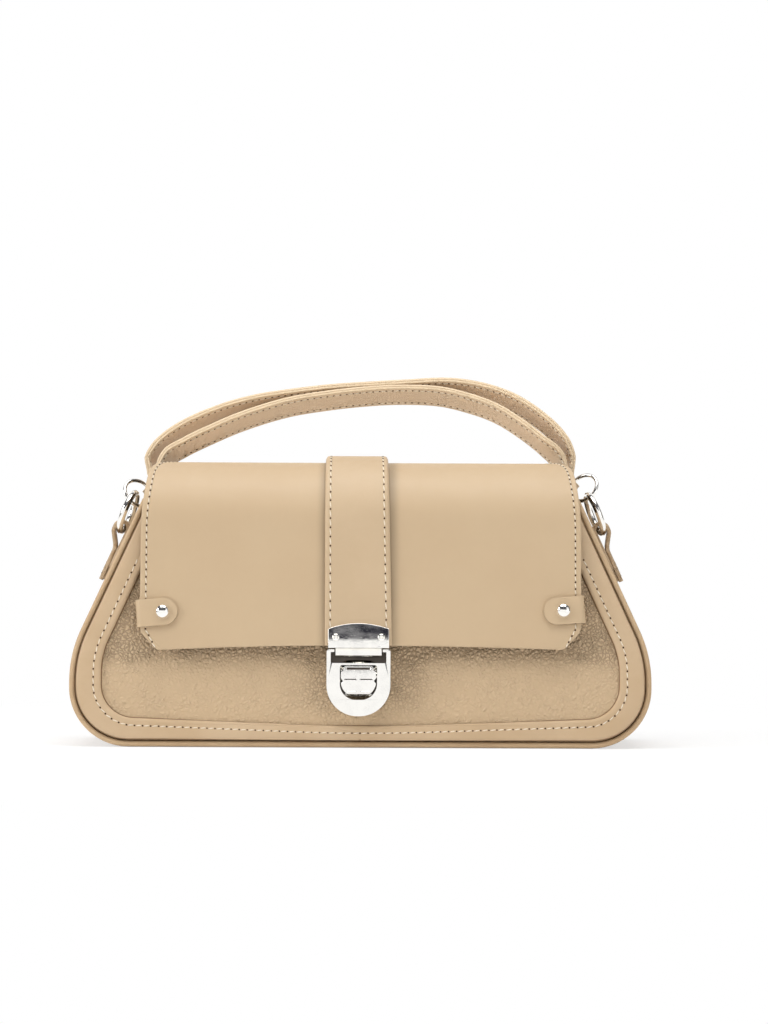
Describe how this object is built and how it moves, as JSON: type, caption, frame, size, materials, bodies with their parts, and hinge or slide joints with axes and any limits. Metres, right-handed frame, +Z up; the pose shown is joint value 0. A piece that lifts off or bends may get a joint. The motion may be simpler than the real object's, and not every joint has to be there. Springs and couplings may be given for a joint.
{
  "type": "handbag",
  "caption": "Small trapezoid leather handbag with a front flap, a push lock, a double handle on linked metal rings and piped edges.",
  "frame": {"origin": "on the floor under the middle of the base", "axes": "+X to the right when seen from the front, -Y out of the front, +Z up"},
  "size_m": [0.292, 0.0863, 0.1853],
  "materials": {
    "smooth_leather": "smooth beige, satin",
    "band_leather": "smooth beige, satin",
    "grained_leather": "pebbled beige, satin",
    "suede": "suede side, taupe, dull",
    "lining_cloth": "woven lining, dull",
    "board": "stiff board, dull",
    "chrome": "polished",
    "dark_steel": "plain steel, unseen"
  },
  "bodies": {
    "root": {"flap_rear_leather": "smooth_leather", "flap_strap_rear": "smooth_leather", "front_border": "band_leather", "front_piping": "band_leather", "back_piping": "band_leather", "gusset": "band_leather", "ring_tab_left": "band_leather", "ring_tab_right": "band_leather", "front_panel": "grained_leather", "back_panel": "grained_leather", "lining_pouch": "lining_cloth", "base_board": "board", "lock_base": "chrome", "lock_back_plate": "dark_steel"},
    "flap": {"flap_leather": "smooth_leather", "flap_lining": "lining_cloth", "flap_strap": "smooth_leather", "lock_tongue_plate": "chrome", "lock_tongue_backing": "dark_steel", "lock_screw_left": "chrome", "lock_screw_right": "chrome", "side_tab_left": "smooth_leather", "side_tab_right": "smooth_leather", "side_rivet_left": "chrome", "side_rivet_right": "chrome"},
    "lock_button": {"lock_button": "chrome"},
    "handle": {"handle_ring_left": "chrome", "handle_ring_right": "chrome", "handle_outer_leather": "smooth_leather", "handle_outer_lining": "suede", "handle_inner_leather": "smooth_leather", "handle_inner_lining": "suede", "handle_stud": "chrome"},
    "ring_left": {"tab_ring_left": "chrome"},
    "ring_right": {"tab_ring_right": "chrome"}
  },
  "joints": [
    {"name": "flap_hinge", "type": "hinge", "parent": "root", "child": "flap", "pos_m": [0, 0.003, 0.1445], "axis": [-1, 0, 0], "range_deg": [0, 110]},
    {"name": "lock_button_slide", "type": "slide", "parent": "root", "child": "lock_button", "axis": [0, -0.1288, -0.9917], "range_m": [0, 0.0015], "stiffness_N_per_m": 250},
    {"name": "handle_swing", "type": "hinge", "parent": "root", "child": "handle", "pos_m": [0, 0, 0.12402], "axis": [-1, 0, 0], "range_deg": [-33, 25]},
    {"name": "ring_left_spin", "type": "hinge", "parent": "root", "child": "ring_left", "pos_m": [-0.11909, 0, 0.11749], "axis": [-0.9245, 0.1392, 0.3549], "continuous": true},
    {"name": "ring_right_spin", "type": "hinge", "parent": "root", "child": "ring_right", "pos_m": [0.11909, 0, 0.11749], "axis": [-0.9245, -0.1392, -0.3549], "continuous": true}
  ]
}
